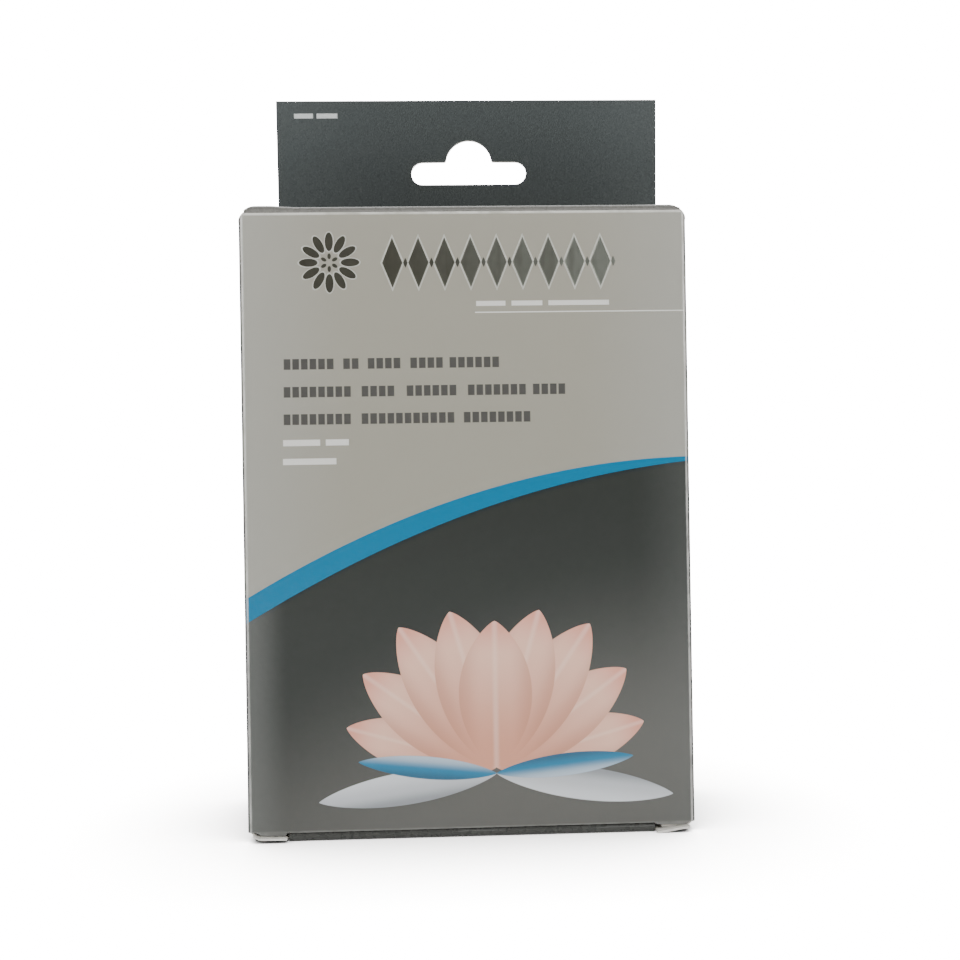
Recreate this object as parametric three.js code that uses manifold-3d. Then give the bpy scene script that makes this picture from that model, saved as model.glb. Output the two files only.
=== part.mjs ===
// A hang-tab carton: a folding box of printed paperboard that stands on its bottom closure or hangs from a
// peg hook by the Euro slot in its two-ply header.
// Millimetres, +Z up. The front panel faces -Y, and the origin is under the middle of the carton.
import * as THREE from "three";
import { mergeVertices } from "three/addons/utils/BufferGeometryUtils.js";
import Module from "manifold-3d";

const wasm = await Module();
wasm.setup();

// Driving dimensions of the body
const panelWidth = 110.2; // outside width of the front and back
const bodyHeight = 155.4; // underside of the bottom lid to the upper face of the top lid
const bodyDepth = 39; // outer face of the front panel to the outer face of the inner back panel
const board = 0.5; // thickness of the paperboard
const foldRadius = 1.3; // outside radius of the upright folds between the panels
const lidFoldRadius = 1.7; // outside radius of the folds along the lids
const dustFoldRadius = 3; // outside radius of the folds that carry the dust flaps
const restGap = 0.3; // clearance between boards that lie on or slide past each other
const glueLine = 0.05; // adhesive between the two back panels
const cornerSlit = 0.05; // width of the line where two panels meet in a fold of the body
const hingeSlit = 0.2; // width of the line where a flap meets what carries it

// Driving dimensions of the closures
const lidInset = 1.5; // each end of a lid to the outer face of the side panel
const earLength = 8.6; // lock ear at each end of a lid, beside the slit
const slitWidth = 0.4; // die-cut slit between a lock ear and the fold of the tuck flap
const earCornerRadius = 1; // rounded corner of a lock ear
const earProud = 1.2; // how far the ears of the bottom lid stand in front of the front panel
const tuckLength = 12; // length of a tuck flap
const tuckCornerRadius = 7; // rounded corners of a tuck flap
const tuckFollow = 0.25; // turn of a tuck flap for each turn of its lid
const dustLength = 30; // length of a dust flap
const dustFollow = 0.5; // turn of a dust flap for each turn of the lid over it
const dustSlant = 0.05; // slant of a dust flap's near side beyond what clears the opening lid
const dustRelief = 1.6; // start of a dust flap past the outer face of the panel that carries the lid
const dustBack = 3.5; // far side of a dust flap to the outer face of the far panel
const dustShoulder = 8.2; // length of the lock shoulder of a dust flap
const dustCornerRadius = 4; // rounded corners at the tip of a dust flap

// Driving dimensions of the back and the header
const headerLeftInset = 4.8; // left side of the header to the left side of the carton, flush at the right
const headerHeight = 37.6; // header above the top lid
const headerLean = 0.073; // forward lean of the header, in radians
const seamGap = 0.1; // line between the header and the back panels
const outerBackInset = 1; // free side of the outer back panel to the corner of the carton
const outerBackLift = 1.5; // lower end of the outer back panel above the underside of the carton

// Driving dimensions of the front panel's lower end
const frontLift = 2.2; // above the underside of the carton, between the lock ears
const lockDrop = 0.6; // over each lock ear the panel reaches this much lower
const notchWidth = 1.8; // notch in each lower corner
const notchHeight = 0.75;

// Driving dimensions of the Euro slot
const slotWidth = 32; // the standard width of a Euro slot
const slotBarHeight = 6.2;
const slotHeight = 12.1; // bar and dome together
const slotDomeRadius = 6.4;
const slotDomeFillet = 0.8;
const slotLift = 14.7; // lower edge of the slot above the top lid
const slotShift = 0.2; // middle of the slot to the right of the middle of the header

// Facets of a fold and of a rounded outline
const foldFacets = 3;
const outlineFacets = 6;

// Vertices closer than this are one
const weldDistance = 1e-4;

// How far a cutting block reaches past a board on each side
const cutReach = 5;

// What follows from the driving dimensions
const totalDepth = bodyDepth + glueLine + board;
const frontY = (earProud - totalDepth) / 2; // the ears count in the middle of the carton
const backY = frontY + bodyDepth;
const restDrop = board + restGap; // a board that lies under a lid
const lidWidth = panelWidth - 2 * lidInset;
const tuckWidth = lidWidth - 2 * earLength;
const lidReach = bodyDepth - restDrop; // a lid reaches to just short of the far panel
const headerThickness = 2 * board + glueLine;
const headerWidth = panelWidth - headerLeftInset;
const seamHeight = bodyHeight - restDrop; // top of the side and back panels
const creaseHeight = bodyHeight - lidFoldRadius; // top of the front panel beside the lid
const lockLift = frontLift - lockDrop;

// A tuck flap leans in so far that its tip passes the far panel and the header while its lid turns.
const tuckSwing = (tuckLength * (1 + tuckFollow)) ** 2 / (2 * lidReach);
const tuckPast = tuckSwing + headerLean * tuckFollow * tuckLength;
const tuckLean = Math.asin(tuckPast / (tuckLength - lidFoldRadius));

const X = new THREE.Vector3(1, 0, 0);
const Y = new THREE.Vector3(0, 1, 0);
const Z = new THREE.Vector3(0, 0, 1);
const point = (x, y, z) => new THREE.Vector3(x, y, z);
const minus = (axis) => axis.clone().negate();

// A closed geometry as a solid that can be joined and cut.
function solidOf(geometry) {
  const bare = geometry.index ? geometry.toNonIndexed() : geometry.clone();
  bare.deleteAttribute("normal");
  bare.deleteAttribute("uv");
  const merged = mergeVertices(bare, weldDistance);
  return new wasm.Manifold(
    new wasm.Mesh({
      numProp: 3,
      vertProperties: new Float32Array(merged.attributes.position.array),
      triVerts: new Uint32Array(merged.index.array),
    }),
  );
}

// A solid as a named mesh.
function meshOf(name, solid, material) {
  const { numProp, numVert, vertProperties, triVerts } = solid.getMesh();
  const positions = new Float32Array(numVert * 3);
  for (let i = 0; i < numVert; i++) {
    positions.set(vertProperties.subarray(i * numProp, i * numProp + 3), i * 3);
  }
  const indexed = new THREE.BufferGeometry();
  indexed.setAttribute("position", new THREE.BufferAttribute(positions, 3));
  indexed.setIndex(new THREE.BufferAttribute(triVerts, 1));
  const geometry = indexed.toNonIndexed();
  geometry.computeVertexNormals();
  const mesh = new THREE.Mesh(geometry, material);
  mesh.name = name;
  return mesh;
}

// A straight extrusion of a shape whose x and y run along two given axes. origin is where the shape's own
// origin lies at the middle of the extrusion.
function prism(shape, length, xAxis, yAxis, origin, facets = foldFacets) {
  const geometry = new THREE.ExtrudeGeometry(shape, {
    depth: length,
    bevelEnabled: false,
    curveSegments: facets,
  });
  geometry.translate(0, 0, -length / 2);
  const placed = new THREE.Matrix4().makeBasis(xAxis, yAxis, xAxis.clone().cross(yAxis));
  placed.setPosition(origin);
  geometry.applyMatrix4(placed);
  return solidOf(geometry);
}

// One side of a fold: it turns through half of the fold, less half of the slit that parts the two sides.
function fold(radius, slit, turn = Math.PI / 4) {
  return { radius, turn: turn - slit / (2 * radius) };
}

// The section of a board that runs along +x, with its outer face on y = 0 and its inner face on y = board.
// An end with a fold curves towards +y, and an end without one is cut square.
function boardSection(length, startFold, endFold) {
  const shape = new THREE.Shape();
  const flat = Math.PI / 2;
  if (startFold) {
    const { radius, turn } = startFold;
    shape.absarc(radius, radius, radius, -flat - turn, -flat, false);
  } else {
    shape.moveTo(0, 0);
  }
  if (endFold) {
    const { radius, turn } = endFold;
    shape.absarc(length - radius, radius, radius, -flat, turn - flat, false);
    shape.absarc(length - radius, radius, radius - board, turn - flat, -flat, true);
  } else {
    shape.lineTo(length, 0);
    shape.lineTo(length, board);
  }
  if (startFold) {
    const { radius, turn } = startFold;
    shape.absarc(radius, radius, radius - board, -flat, -flat - turn, true);
  } else {
    shape.lineTo(0, board);
  }
  shape.closePath();
  return shape;
}

// A rectangle given by two opposite corners.
function rectangle(lowX, lowY, highX, highY) {
  const shape = new THREE.Shape();
  shape.moveTo(lowX, lowY);
  shape.lineTo(highX, lowY);
  shape.lineTo(highX, highY);
  shape.lineTo(lowX, highY);
  shape.closePath();
  return shape;
}

// A rectangular board with folds along any of its edges. corner is the lower start corner of its outer face,
// as if the folds were sharp. The lower and upper folds may stop short of the start and end edges.
function panel({ corner, along, up, inward, width, height, start, end, lower, upper, foldInset }) {
  const [fromStart, fromEnd] = foldInset ?? [0, 0];
  let sheet = prism(
    boardSection(width, start, end),
    height,
    along,
    inward,
    corner.clone().addScaledVector(up, height / 2),
  );
  if (!lower && !upper) {
    return sheet;
  }
  const foldEnd = width - fromEnd;
  const zones = [];
  if (lower) {
    zones.push(rectangle(fromStart, -lower.radius, foldEnd, lower.radius));
  }
  if (upper) {
    zones.push(rectangle(fromStart, height - upper.radius, foldEnd, height + upper.radius));
  }
  for (const zone of zones) {
    sheet = sheet.subtract(prism(zone, 2 * cutReach, along, up, corner));
  }
  const folded = prism(
    boardSection(height, lower, upper),
    foldEnd - fromStart,
    up,
    inward,
    corner.clone().addScaledVector(along, (fromStart + foldEnd) / 2),
  );
  return sheet.add(folded);
}

// A block that cuts a rectangle out of a board, given by two opposite corners.
function block(low, high) {
  const size = high.clone().sub(low);
  const geometry = new THREE.BoxGeometry(size.x, size.y, size.z);
  geometry.translate((low.x + high.x) / 2, (low.y + high.y) / 2, (low.z + high.z) / 2);
  return solidOf(geometry);
}

// A polygon whose corners are rounded where their third number gives a radius.
function roundedOutline(corners) {
  const shape = new THREE.Shape();
  corners.forEach(([x, y, radius = 0], i) => {
    const here = new THREE.Vector2(x, y);
    const before = new THREE.Vector2(...corners.at(i - 1).slice(0, 2));
    const after = new THREE.Vector2(...corners[(i + 1) % corners.length].slice(0, 2));
    const into = here.clone().addScaledVector(before.sub(here).normalize(), radius);
    const out = here.clone().addScaledVector(after.sub(here).normalize(), radius);
    if (i === 0) {
      shape.moveTo(into.x, into.y);
    } else {
      shape.lineTo(into.x, into.y);
    }
    if (radius) {
      shape.quadraticCurveTo(here.x, here.y, out.x, out.y);
    }
  });
  shape.closePath();
  return shape;
}

// Finishes
const finish = (color, roughness) => new THREE.MeshStandardMaterial({ color, roughness, metalness: 0 });
const greyPrint = () => finish(0x9d9b96, 0.4);
const darkPrint = () => finish(0x474a49, 0.4);
const plainBoard = () => finish(0xe4e1da, 0.8);

// The four walls of the body and the outer back panel that is glued over the inner one
function body() {
  const group = new THREE.Group();
  const bodyFold = fold(foldRadius, cornerSlit);
  const lidHinge = fold(lidFoldRadius, hingeSlit);
  const dustHinge = fold(dustFoldRadius, hingeSlit);
  const left = -panelWidth / 2;
  const right = panelWidth / 2;

  let front = panel({
    corner: point(left, frontY, lockLift),
    along: X,
    up: Z,
    inward: Y,
    width: panelWidth,
    height: bodyHeight - lockLift,
    start: bodyFold,
    end: bodyFold,
    upper: lidHinge,
    foldInset: [lidInset, lidInset],
  });
  const cuts = [
    [-tuckWidth / 2, tuckWidth / 2, lockLift - restGap, frontLift],
  ];
  for (const side of [-1, 1]) {
    for (const [width, low, high] of [
      [notchWidth, lockLift - restGap, lockLift + notchHeight],
      [lidInset, creaseHeight, bodyHeight + restGap],
    ]) {
      const inner = side * (right - width);
      cuts.push([Math.min(side * right, inner), Math.max(side * right, inner), low, high]);
    }
  }
  for (const [lowX, highX, lowZ, highZ] of cuts) {
    front = front.subtract(
      block(point(lowX, frontY - cutReach, lowZ), point(highX, frontY + cutReach, highZ)),
    );
  }
  group.add(meshOf("front_panel", front, greyPrint()));

  const sideHeight = seamHeight - restDrop;
  const leftSide = panel({
    corner: point(left, frontY, restDrop),
    along: Y,
    up: Z,
    inward: X,
    width: bodyDepth,
    height: sideHeight,
    start: bodyFold,
    end: bodyFold,
    lower: dustHinge,
    upper: dustHinge,
    foldInset: [dustRelief, bodyDepth - lidReach],
  });
  group.add(meshOf("left_side_panel", leftSide, greyPrint()));

  const rightSide = panel({
    corner: point(right, frontY, restDrop),
    along: Y,
    up: Z,
    inward: minus(X),
    width: totalDepth,
    height: sideHeight,
    start: bodyFold,
    end: bodyFold,
    lower: dustHinge,
    upper: dustHinge,
    foldInset: [dustRelief, totalDepth - lidReach],
  });
  group.add(meshOf("right_side_panel", rightSide, greyPrint()));

  const innerBack = panel({
    corner: point(left, backY, 0),
    along: X,
    up: Z,
    inward: minus(Y),
    width: panelWidth - foldRadius - restGap,
    height: seamHeight,
    start: bodyFold,
    lower: lidHinge,
    foldInset: [lidInset, 0],
  });
  group.add(meshOf("inner_back_panel", innerBack, plainBoard()));

  const outerBack = panel({
    corner: point(right, frontY + totalDepth, outerBackLift),
    along: minus(X),
    up: Z,
    inward: minus(Y),
    width: panelWidth - outerBackInset,
    height: seamHeight - outerBackLift,
    start: bodyFold,
  });
  group.add(meshOf("outer_back_panel", outerBack, greyPrint()));
  return group;
}

// The outline of the Euro slot, with its origin at the middle of its lower edge
function euroSlot() {
  const endRadius = slotBarHeight / 2;
  const endX = slotWidth / 2 - endRadius;
  const domeY = slotHeight - slotDomeRadius;
  const domeStart = Math.asin((slotBarHeight + slotDomeFillet - domeY) / slotDomeRadius);
  const domeX = slotDomeRadius * Math.cos(domeStart);
  const shape = new THREE.Shape();
  shape.moveTo(-endX, 0);
  shape.lineTo(endX, 0);
  shape.absarc(endX, endRadius, endRadius, -Math.PI / 2, Math.PI / 2, false);
  shape.lineTo(domeX + slotDomeFillet, slotBarHeight);
  shape.quadraticCurveTo(domeX, slotBarHeight, domeX, slotBarHeight + slotDomeFillet);
  shape.absarc(0, domeY, slotDomeRadius, domeStart, Math.PI - domeStart, false);
  shape.quadraticCurveTo(-domeX, slotBarHeight, -domeX - slotDomeFillet, slotBarHeight);
  shape.lineTo(-endX, slotBarHeight);
  shape.absarc(-endX, endRadius, endRadius, Math.PI / 2, (3 * Math.PI) / 2, false);
  return shape;
}

// The header: both back boards glued together, upright behind the lid and leaning forward above it
function header() {
  const lean = headerHeight * Math.tan(headerLean);
  const side = new THREE.Shape();
  side.moveTo(0, seamGap - restDrop);
  side.lineTo(headerThickness, seamGap - restDrop);
  side.lineTo(headerThickness, 0);
  side.lineTo(headerThickness - lean, headerHeight);
  side.lineTo(-lean, headerHeight);
  side.lineTo(0, 0);
  side.closePath();
  const foot = point(headerLeftInset / 2, backY - board, bodyHeight);
  const plate = prism(side, headerWidth, Y, Z, foot);
  const cut = prism(
    euroSlot(),
    2 * bodyDepth,
    X,
    Z,
    foot.clone().add(point(slotShift, 0, slotLift)),
    outlineFacets,
  );
  return meshOf("hang_tab", plate.subtract(cut), darkPrint());
}

// A lid with its two lock ears. Its frame has the hinge's outer corner on the X axis, +Y towards the tuck
// flap and +Z outwards.
function lid(name, earReach, material) {
  const hinge = fold(lidFoldRadius, hingeSlit);
  let plate = panel({
    corner: point(-lidWidth / 2, 0, 0),
    along: X,
    up: Y,
    inward: minus(Z),
    width: lidWidth,
    height: lidReach,
    lower: hinge,
    upper: hinge,
  });
  for (const side of [-1, 1]) {
    const outer = (side * lidWidth) / 2;
    const inner = outer - side * earLength;
    const earInner = inner + side * slitWidth;
    const lowX = Math.min(outer, inner);
    const highX = Math.max(outer, inner);
    plate = plate.subtract(
      block(
        point(lowX, lidReach - lidFoldRadius, -cutReach),
        point(highX, lidReach + cutReach, cutReach),
      ),
    );
    const ear = roundedOutline([
      [earInner, lidReach - 2 * lidFoldRadius],
      [earInner, earReach],
      [outer, earReach, earCornerRadius],
      [outer, lidReach - 2 * lidFoldRadius],
    ]);
    plate = plate.add(prism(ear, board, X, Y, point(0, 0, -board / 2), outlineFacets));
  }
  return meshOf(name, plate, material);
}

// A tuck flap, hinged on the far fold of its lid and leaning back under it. It is built about the centre of
// that fold, so that the lean turns it round the fold.
function tuckFlap(name, material) {
  const lower = fold(lidFoldRadius, hingeSlit, Math.PI / 4 + tuckLean);
  const plate = panel({
    corner: point(-tuckWidth / 2, lidFoldRadius, lidFoldRadius),
    along: X,
    up: minus(Z),
    inward: minus(Y),
    width: tuckWidth,
    height: tuckLength,
    lower,
  });
  const half = tuckWidth / 2;
  const tip = tuckLength - lidFoldRadius;
  const outline = roundedOutline([
    [-half, lidFoldRadius],
    [half, lidFoldRadius],
    [half, -tip, tuckCornerRadius],
    [-half, -tip, tuckCornerRadius],
  ]);
  const cut = prism(outline, 2 * cutReach, X, Z, point(0, 0, 0), outlineFacets);
  const mesh = meshOf(name, plate.intersect(cut), material);
  mesh.position.set(0, lidReach - lidFoldRadius, -lidFoldRadius);
  mesh.rotation.x = -tuckLean;
  return mesh;
}

// A dust flap. side is -1 on the left and 1 on the right.
function dustFlap(name, side, material) {
  const plate = panel({
    corner: point((side * panelWidth) / 2, 0, -restDrop),
    along: Y,
    up: X.clone().multiplyScalar(-side),
    inward: minus(Z),
    width: bodyDepth,
    height: dustLength,
    lower: fold(dustFoldRadius, hingeSlit),
  });
  const slant = dustFollow + dustSlant;
  const farSide = bodyDepth - dustBack;
  const shoulderReach = lidReach - headerLean * dustShoulder; // stands clear of the header when open
  const outline = roundedOutline([
    [0, dustRelief],
    [dustLength, dustRelief + dustLength * slant, dustCornerRadius],
    [dustLength, farSide, dustCornerRadius],
    [dustShoulder, farSide, slitWidth],
    [dustShoulder, shoulderReach, slitWidth],
    [0, shoulderReach],
  ]);
  const cut = prism(
    outline,
    2 * cutReach,
    X.clone().multiplyScalar(-side),
    Y,
    point((side * panelWidth) / 2, 0, 0),
    outlineFacets,
  );
  return meshOf(name, plate.intersect(cut), material);
}

// A lid, its tuck flap and the two dust flaps under it
function closure(end, earReach, material) {
  const group = new THREE.Group();
  group.add(lid(`${end}_lid`, earReach, material()));
  group.add(tuckFlap(`${end}_tuck_flap`, material()));
  group.add(dustFlap(`${end}_left_dust_flap`, -1, plainBoard()));
  group.add(dustFlap(`${end}_right_dust_flap`, 1, plainBoard()));
  return group;
}

const carton = new THREE.Group();
carton.add(body());
carton.add(header());

// The top lid hangs on the front panel and tucks in at the back.
const topClosure = closure("top", lidReach, greyPrint);
topClosure.position.set(0, frontY, bodyHeight);
carton.add(topClosure);

// The bottom lid hangs on the inner back panel and tucks in at the front, so it is the same set turned over.
const bottomClosure = closure("bottom", bodyDepth + earProud, darkPrint);
bottomClosure.position.set(0, backY, 0);
bottomClosure.rotation.x = Math.PI;
carton.add(bottomClosure);

export default carton;
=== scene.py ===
# %% [markdown]
# # A hang-tab carton
# A printed folding box that stands empty and closed. The real one is a single die-cut blank of half-millimetre
# board, creased, folded and glued down its back. Its film-laminated print shows a grey field, a blue arc and a
# dark lower field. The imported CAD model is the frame: every piece here is fitted to it in the same coordinates.

# %% Load the frame
import math

import bmesh
import bpy
from mathutils import Matrix, Vector
from mathutils.geometry import delaunay_2d_cdt


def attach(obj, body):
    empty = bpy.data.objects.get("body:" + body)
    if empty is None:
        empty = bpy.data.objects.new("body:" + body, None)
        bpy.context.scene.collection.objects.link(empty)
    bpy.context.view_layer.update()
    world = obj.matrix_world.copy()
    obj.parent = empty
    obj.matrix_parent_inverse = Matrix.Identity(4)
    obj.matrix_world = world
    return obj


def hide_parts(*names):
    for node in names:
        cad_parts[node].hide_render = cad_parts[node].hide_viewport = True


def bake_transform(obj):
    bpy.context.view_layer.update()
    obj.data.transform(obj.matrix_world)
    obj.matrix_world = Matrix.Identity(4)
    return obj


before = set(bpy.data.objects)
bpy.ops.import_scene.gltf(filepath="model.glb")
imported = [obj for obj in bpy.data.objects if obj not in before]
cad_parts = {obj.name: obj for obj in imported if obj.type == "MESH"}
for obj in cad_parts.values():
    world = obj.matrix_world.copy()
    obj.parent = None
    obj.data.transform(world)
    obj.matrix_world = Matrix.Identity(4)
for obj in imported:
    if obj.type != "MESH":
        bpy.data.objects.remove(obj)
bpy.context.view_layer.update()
MM = 0.001

# %% [markdown]
# ## Sizes
# A blank is drawn flat and folded later, so its length along the board is measured round the outside of each
# fold. A quarter fold of radius r takes up r times pi / 2 of the blank. Lengths are in millimetres. They follow the
# CAD model, so that each board lands on the solid that it replaces, apart from bows and curls of about a millimetre.

# %% The carton's sizes
BOARD, REST_GAP, GLUE = 0.5, 0.3, 0.05
LAYER = BOARD + REST_GAP
WIDTH, TOP, DEPTH = 110.2, 155.4, 39.0
FRONT_Y, BACK_Y, OUTER_Y = -19.175, 19.825, 20.375
FOLD, LID_FOLD, DUST_FOLD = 1.3, 1.7, 3.0
LID_INSET, LID_REACH, EAR_LENGTH, SLIT = 1.5, 38.2, 8.6, 0.4
EAR_PROUD, FRONT_LIFT, LOCK_LIFT, NOTCH_LIFT = 1.2, 2.2, 1.6, 2.35
FRONT_BOW = 0.55
HEADER_LEFT, HEADER_TOP, HEADER_LEAN = 4.8, 193.0, 0.073
SEAM, SEAM_GAP = TOP - LAYER, 0.1
SLOT_LIFT, SLOT_SHIFT = 14.7, 0.2
TUCK_LENGTH, TUCK_CORNER, TUCK_FOLLOW = 12.0, 7.0, 0.25
FOIL_SINK = 0.03
SHARP = math.radians(35)
QUARTER = math.pi / 2
SIDE_X = WIDTH / 2
LID_X = SIDE_X - LID_INSET
TUCK_X = LID_X - EAR_LENGTH
CREASE_TOP = TOP - LID_FOLD
print(f"carton {WIDTH} x {DEPTH} x {TOP} mm, lid crease at {CREASE_TOP:.1f} mm")


# %% [markdown]
# ## Maths as expressions
# Geometry and shader trees are graphs of small nodes. Wiring them by hand hides the formula, so this class wraps
# a socket and lets Python operators add the Math nodes. `1 - mask` and `mask * 0.5` then read as they would on
# paper. Both kinds of tree use the same Math node, so one class serves both.

# %% A socket that does arithmetic
class Value:
    def __init__(self, tree, socket):
        self.tree, self.socket = tree, socket

    def math(self, operation, *others):
        node = self.tree.nodes.new("ShaderNodeMath")
        node.operation = operation
        for slot, item in zip(node.inputs, (self, *others)):
            feed(self.tree, slot, item)
        return Value(self.tree, node.outputs[0])

    def __add__(self, other): return self.math("ADD", other)
    def __sub__(self, other): return self.math("SUBTRACT", other)
    def __mul__(self, other): return self.math("MULTIPLY", other)
    def __truediv__(self, other): return self.math("DIVIDE", other)
    def __pow__(self, other): return self.math("POWER", other)
    def __neg__(self): return self.math("MULTIPLY", -1)
    def __rsub__(self, other): return (-self).math("ADD", other)
    def __abs__(self): return self.math("ABSOLUTE")
    def __gt__(self, other): return self.math("GREATER_THAN", other)
    def min(self, other): return self.math("MINIMUM", other)
    def max(self, other): return self.math("MAXIMUM", other)
    def clamp(self, low=0.0, high=1.0): return self.max(low).min(high)
    def sin(self): return self.math("SINE")
    def cos(self): return self.math("COSINE")

    def ramp(self, start, end, low=0.0, high=1.0):
        """A smooth step from low at start to high at end."""
        node = add_node(self.tree, "ShaderNodeMapRange", {"interpolation_type": "SMOOTHSTEP"},
                        dict(enumerate((self, start, end, low, high))))
        return Value(self.tree, node.outputs[0])


# %% One way to add any other node
def feed(tree, slot, item):
    """Gives a node's input a number, or links a Value or a socket to it."""
    if isinstance(item, Value):
        item = item.socket
    if isinstance(item, bpy.types.NodeSocket):
        tree.links.new(item, slot)
    else:
        slot.default_value = item


def add_node(tree, kind, settings=None, inputs=None):
    """A node of a type, with its settings first and then its inputs, given as numbers or linked sockets."""
    node = tree.nodes.new(kind)
    for name, setting in (settings or {}).items():
        setattr(node, name, setting)
    for name, item in (inputs or {}).items():
        feed(tree, node.inputs[name], item)
    return node


# %% [markdown]
# ## Printed finishes
# The print is flat ink under a satin film. Ink edges are crisp, so each colour is a mask computed from the
# distance to a line or curve in the panel's own millimetres, read from Object coordinates. The film gives a
# broad, soft sheen: a coat over the ink, with faint waviness in its bump and fine grain in its roughness.

# %% Colour helpers
def linear(red, green, blue):
    """A colour given as it looks on a screen, 0 to 255, as the linear light that a shader works in."""
    def channel(c):
        c = c / 255
        return c / 12.92 if c <= 0.04045 else ((c + 0.055) / 1.055) ** 2.4
    return (channel(red), channel(green), channel(blue), 1.0)


class Finish:
    """A material under construction: its tree, its place in millimetres and the colour painted so far."""

    def __init__(self, name, ground):
        self.material = bpy.data.materials.new(name)
        self.material.use_nodes = True
        self.tree = self.material.node_tree
        self.shader = self.tree.nodes["Principled BSDF"]
        place = add_node(self.tree, "ShaderNodeTexCoord")
        self.position = place.outputs["Object"]
        parts = add_node(self.tree, "ShaderNodeSeparateXYZ", inputs={"Vector": self.position})
        self.x, self.y, self.z = (Value(self.tree, parts.outputs[i]) * 1000 for i in range(3))
        self.material.diffuse_color = ground
        self.colour = ground

    def paint(self, mask, colour):
        """Lays a colour over what is painted so far, where the mask is 1."""
        node = add_node(self.tree, "ShaderNodeMix", {"data_type": "RGBA"}, {0: mask, 6: self.colour, 7: colour})
        self.colour = node.outputs[2]

    def noise(self, size, detail=2.0, stretch=(1, 1, 1)):
        """Noise from 0 to 1 whose lumps are about size millimetres across."""
        place = add_node(self.tree, "ShaderNodeMapping", {}, {"Vector": self.position, "Scale": stretch})
        node = add_node(self.tree, "ShaderNodeTexNoise", {},
                        {"Vector": place.outputs[0], "Scale": 1000 / size, "Detail": detail})
        return Value(self.tree, node.outputs[0])

    def finish(self, roughness, relief, strength, distance=0.0002, **fixed):
        """Wires the painted colour, the roughness and the relief, and sets the shader's fixed values."""
        bump = add_node(self.tree, "ShaderNodeBump", {},
                        {"Strength": strength, "Distance": distance, "Height": relief})
        wired = {"Base Color": self.colour, "Roughness": roughness, "Normal": bump.outputs[0]}
        for name, item in (wired | fixed).items():
            feed(self.tree, self.shader.inputs[name.replace("_", " ")], item)
        return self.material

    def film(self, grain, base):
        """The satin film over the ink: a broad sheen, faint waves in its relief and fine grain in its roughness."""
        waves = self.noise(9, 1) * 0.7 + self.noise(2.5, 1) * 0.03
        return self.finish(self.noise(1.5, 2) * grain + base, waves, 0.1,
                           Coat_Weight=0.1, Coat_Roughness=0.3, Specular_IOR_Level=0.35)


def crisp(distance, softness=0.06):
    """1 where a signed distance in millimetres is positive, with an edge as sharp as printed ink."""
    return distance.ramp(-softness, softness)


def bar(f, x0, z0, x1, z1):
    """The mask of an upright rectangle on the front panel, its corners a little rounded by the ink."""
    across = abs(f.x - (x0 + x1) / 2) - abs(x1 - x0) / 2
    upward = abs(f.z - (z0 + z1) / 2) - abs(z1 - z0) / 2
    return crisp(-(across.max(upward)))


# %% [markdown]
# ### The front artwork
# Two parabolas meet near the right edge: the blue band lies between them. Everything above is warm grey, paler
# towards the edges, and everything below is nearly black at the arc. There it fades to a mid grey at the foot, a
# painted reflection of the pale floor, and turns lighter near the left and right edges, a painted sheen. Rows of
# small blocks and plain bars give the print its scale, and a generic flower fills the dark field. It could be
# modelled, but it is flat ink, so it is built from leaf shapes whose outlines are again only distances.

# %% Front print
UPPER_ARC, LOWER_ARC = (59.1, 83.9, 92.7), (53.1, 79.4, 91.65)
BLOCK_PITCH, BLOCK_HALF, BLOCK_SPACE = 2.1, 1.3, 2.0
BLOCK_ROWS = ((-44.8, 116.6, (12.5, 4, 8.4, 7.6, 13.2)),
              (-44.9, 109.8, (17, 9, 13, 14, 7.8)),
              (-45, 103.1, (17, 23, 16)))
BAR_HALF, BAR_SPACE = 0.75, 1.4
BAR_ROWS = ((-44.9, 97.4, (9.0, 5.6)), (-45, 92.8, (13.0,)))


def arc_height(f, left, middle, right):
    """A parabola through a height at the left edge, the middle and the right edge of the front panel."""
    bend = (left + right) / 2 - middle
    slope = (right - left) / 2
    t = f.x / SIDE_X
    return t * t * bend + t * slope + middle


def leaf(f, base_x, base_z, angle, length, width):
    """A pointed leaf that grows from a base point. Returns its mask, its lengthwise and its crosswise place."""
    turn = math.radians(angle)
    dx, dz = f.x - base_x, f.z - base_z
    along = (dx * math.sin(turn) + dz * math.cos(turn)) / length
    across = (dx * math.cos(turn) - dz * math.sin(turn)) / (width / 2)
    inside = along.clamp()
    outline = (inside * (1 - inside) * 4) ** 0.8
    mask = crisp((outline - abs(across)) * (width / 2), 0.12) * crisp((1 - along) * length) * crisp(along * length)
    return mask, inside, across


def printed_flower(f):
    """A many-petalled flower in soft peach over a silver and blue water line."""
    base = (6.0, 17.0)
    petals = [(-74, 38, 13), (74, 38, 13), (-54, 40, 15), (54, 40, 15), (-34, 42, 16), (34, 42, 16),
              (-16, 40, 17), (16, 40, 17), (0, 36, 18)]
    for angle, length, width in petals:
        mask, along, across = leaf(f, *base, angle, length, width)
        f.paint(mask, linear(214, 152, 128))
        f.paint(mask * along.ramp(0.1, 0.9), linear(236, 190, 168))
        f.paint(mask * along.ramp(0.75, 1.0) * 0.6, linear(214, 122, 106))
        f.paint(mask * abs(across).ramp(0.35, 1.0) * 0.45, linear(176, 116, 96))
        f.paint(mask * (1 - abs(across).ramp(0.0, 0.12)) * 0.35, linear(250, 222, 206))
    for angle, length, width, tone in ((-98, 44, 8, (190, 194, 198)), (98, 44, 8, (190, 194, 198)),
                                       (-84, 34, 5.5, (42, 120, 158)), (84, 34, 5.5, (42, 120, 158))):
        mask, _, across = leaf(f, base[0], base[1] - 1.5, angle, length, width)
        f.paint(mask, linear(*tone))
        f.paint(mask * across.ramp(-0.2, 0.9) * 0.55, linear(232, 236, 240))
        f.paint(mask * (1 - across.ramp(-0.9, -0.1)) * 0.5, linear(58, 66, 74))


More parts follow.
